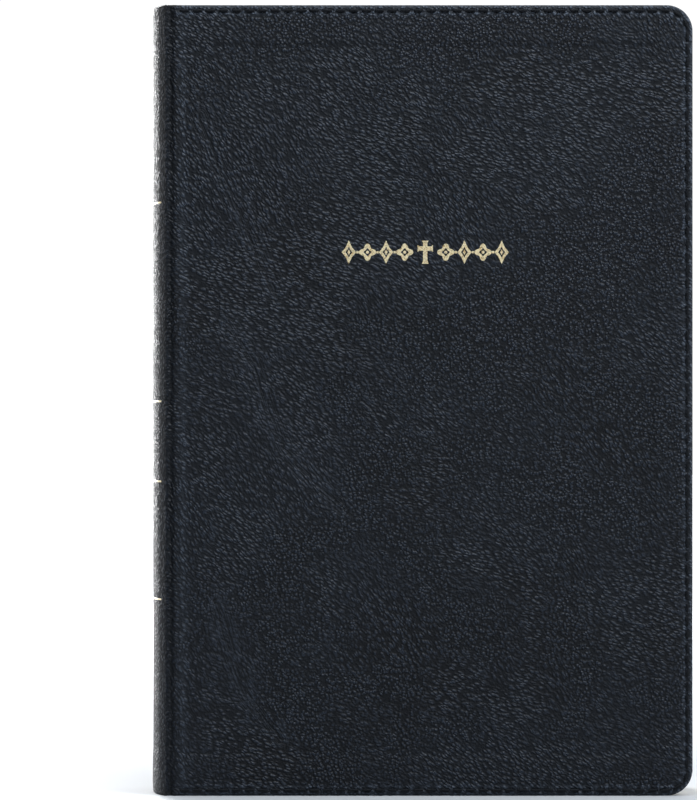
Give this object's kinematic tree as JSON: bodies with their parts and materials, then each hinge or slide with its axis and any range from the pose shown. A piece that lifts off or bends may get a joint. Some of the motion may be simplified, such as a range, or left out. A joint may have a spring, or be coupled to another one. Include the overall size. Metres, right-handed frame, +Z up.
{
  "type": "bible",
  "caption": "Closed flexible leather-look bible standing on its tail edge, with hinged covers, stitched edges, foil ornament and fanning gilt-edged leaves.",
  "frame": {"origin": "middle of the closed book's footprint at its tail edge", "axes": "+Z up the book's height, +X towards the fore-edge, front cover facing -Y"},
  "size_m": [0.1612, 0.036, 0.235],
  "materials": {
    "leather": "pebbled imitation leather, dark navy, satin",
    "board": "thin flexible board",
    "lining": "matt lining paper",
    "endpaper": "embossed dark endpaper, matt",
    "page": "thin printing paper with gilt edges",
    "stitch_thread": "waxed thread, self-coloured",
    "sewing_thread": "linen thread",
    "mull": "open-weave cloth",
    "kraft": "kraft paper",
    "band": "woven head and tail band",
    "foil": "stamped gold foil"
  },
  "bodies": {
    "spine": {"spine_leather": "leather", "spine_inlay": "lining", "spine_foil_rule_1": "foil", "spine_foil_rule_2": "foil", "spine_foil_rule_3": "foil", "spine_foil_rule_4": "foil", "kraft_lining": "kraft", "mull": "mull", "sewing_thread_1": "sewing_thread", "sewing_thread_2": "sewing_thread", "sewing_thread_3": "sewing_thread", "sewing_thread_4": "sewing_thread", "sewing_thread_5": "sewing_thread", "head_band": "band", "tail_band": "band", "core_gathering_1": "page", "core_gathering_2": "page", "core_gathering_3": "page", "core_gathering_4": "page", "core_gathering_5": "page", "core_gathering_6": "page", "core_gathering_7": "page", "core_gathering_8": "page"},
    "front_cover": {"front_leather": "leather", "front_board": "board", "front_lining": "lining", "front_pastedown": "endpaper", "front_stitching": "stitch_thread", "foil_cross": "foil", "foil_rule_left": "foil", "foil_rule_right": "foil"},
    "front_flyleaf": {"front_flyleaf": "endpaper"},
    "front_gathering": {"front_gathering": "page"},
    "front_leaf_1": {"front_leaf_1": "page"},
    "front_leaf_2": {"front_leaf_2": "page"},
    "front_leaf_3": {"front_leaf_3": "page"},
    "front_leaf_4": {"front_leaf_4": "page"},
    "back_cover": {"back_leather": "leather", "back_board": "board", "back_lining": "lining", "back_pastedown": "endpaper", "back_stitching": "stitch_thread"},
    "back_flyleaf": {"back_flyleaf": "endpaper"},
    "back_gathering": {"back_gathering": "page"},
    "back_leaf_1": {"back_leaf_1": "page"},
    "back_leaf_2": {"back_leaf_2": "page"},
    "back_leaf_3": {"back_leaf_3": "page"},
    "back_leaf_4": {"back_leaf_4": "page"}
  },
  "joints": [
    {"name": "front_cover_hinge", "type": "hinge", "parent": "spine", "child": "front_cover", "pos_m": [-0.0754, -0.0182, 0], "axis": [0, 0, -1], "range_deg": [0, 180]},
    {"name": "front_flyleaf_hinge", "type": "hinge", "parent": "spine", "child": "front_flyleaf", "pos_m": [-0.0754, -0.0182, 0], "axis": [0, 0, -1], "range_deg": [0, 171.2]},
    {"name": "front_gathering_hinge", "type": "hinge", "parent": "spine", "child": "front_gathering", "pos_m": [-0.0754, -0.0182, 0], "axis": [0, 0, -1], "range_deg": [0, 158.6]},
    {"name": "front_leaf_1_hinge", "type": "hinge", "parent": "spine", "child": "front_leaf_1", "pos_m": [-0.0754, -0.0182, 0], "axis": [0, 0, -1], "range_deg": [0, 133.4]},
    {"name": "front_leaf_2_hinge", "type": "hinge", "parent": "spine", "child": "front_leaf_2", "pos_m": [-0.0754, -0.0182, 0], "axis": [0, 0, -1], "range_deg": [0, 102.8]},
    {"name": "front_leaf_3_hinge", "type": "hinge", "parent": "spine", "child": "front_leaf_3", "pos_m": [-0.0754, -0.0182, 0], "axis": [0, 0, -1], "range_deg": [0, 68.6]},
    {"name": "front_leaf_4_hinge", "type": "hinge", "parent": "spine", "child": "front_leaf_4", "pos_m": [-0.0754, -0.0182, 0], "axis": [0, 0, -1], "range_deg": [0, 34.4]},
    {"name": "back_cover_hinge", "type": "hinge", "parent": "spine", "child": "back_cover", "pos_m": [-0.0754, 0.0182, 0], "axis": [0, 0, 1], "range_deg": [0, 180]},
    {"name": "back_flyleaf_hinge", "type": "hinge", "parent": "spine", "child": "back_flyleaf", "pos_m": [-0.0754, 0.0182, 0], "axis": [0, 0, 1], "range_deg": [0, 171.2]},
    {"name": "back_gathering_hinge", "type": "hinge", "parent": "spine", "child": "back_gathering", "pos_m": [-0.0754, 0.0182, 0], "axis": [0, 0, 1], "range_deg": [0, 158.6]},
    {"name": "back_leaf_1_hinge", "type": "hinge", "parent": "spine", "child": "back_leaf_1", "pos_m": [-0.0754, 0.0182, 0], "axis": [0, 0, 1], "range_deg": [0, 133.4]},
    {"name": "back_leaf_2_hinge", "type": "hinge", "parent": "spine", "child": "back_leaf_2", "pos_m": [-0.0754, 0.0182, 0], "axis": [0, 0, 1], "range_deg": [0, 102.8]},
    {"name": "back_leaf_3_hinge", "type": "hinge", "parent": "spine", "child": "back_leaf_3", "pos_m": [-0.0754, 0.0182, 0], "axis": [0, 0, 1], "range_deg": [0, 68.6]},
    {"name": "back_leaf_4_hinge", "type": "hinge", "parent": "spine", "child": "back_leaf_4", "pos_m": [-0.0754, 0.0182, 0], "axis": [0, 0, 1], "range_deg": [0, 34.4]}
  ],
  "couplings": [
    {"joint": "front_flyleaf_hinge", "follows": "front_cover_hinge", "ratio": 0.95},
    {"joint": "front_gathering_hinge", "follows": "front_cover_hinge", "ratio": 0.88},
    {"joint": "front_leaf_1_hinge", "follows": "front_cover_hinge", "ratio": 0.74},
    {"joint": "front_leaf_2_hinge", "follows": "front_cover_hinge", "ratio": 0.57},
    {"joint": "front_leaf_3_hinge", "follows": "front_cover_hinge", "ratio": 0.38},
    {"joint": "front_leaf_4_hinge", "follows": "front_cover_hinge", "ratio": 0.19},
    {"joint": "back_flyleaf_hinge", "follows": "back_cover_hinge", "ratio": 0.95},
    {"joint": "back_gathering_hinge", "follows": "back_cover_hinge", "ratio": 0.88},
    {"joint": "back_leaf_1_hinge", "follows": "back_cover_hinge", "ratio": 0.74},
    {"joint": "back_leaf_2_hinge", "follows": "back_cover_hinge", "ratio": 0.57},
    {"joint": "back_leaf_3_hinge", "follows": "back_cover_hinge", "ratio": 0.38},
    {"joint": "back_leaf_4_hinge", "follows": "back_cover_hinge", "ratio": 0.19}
  ]
}
